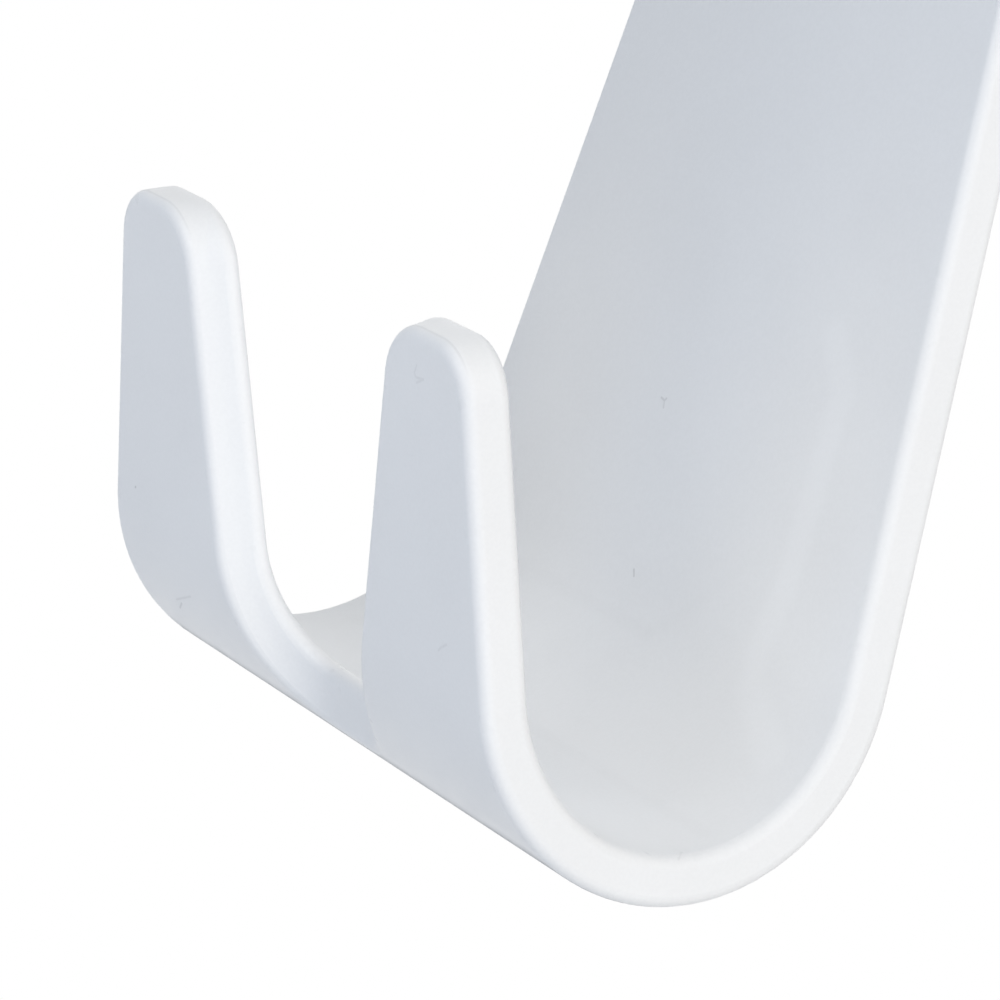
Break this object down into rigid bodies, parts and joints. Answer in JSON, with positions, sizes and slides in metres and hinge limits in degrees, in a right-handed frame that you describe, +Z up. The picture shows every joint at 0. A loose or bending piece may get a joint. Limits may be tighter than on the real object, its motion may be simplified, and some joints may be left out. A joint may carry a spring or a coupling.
{
  "type": "radiator towel hook",
  "caption": "White moulded plastic hook that hangs over a radiator's edge and holds towels on its upturned, split front.",
  "frame": {"origin": "middle of the seat, the underside of the bridge that rests on the radiator's top edge", "axes": "+Z up, +Y from the hook's front towards the radiator, X across the hook"},
  "size_m": [0.0552, 0.0562, 0.0852],
  "materials": {
    "white_plastic": "as moulded, semi-gloss"
  },
  "bodies": {
    "root": {"towel_hook": "white_plastic"}
  },
  "joints": []
}
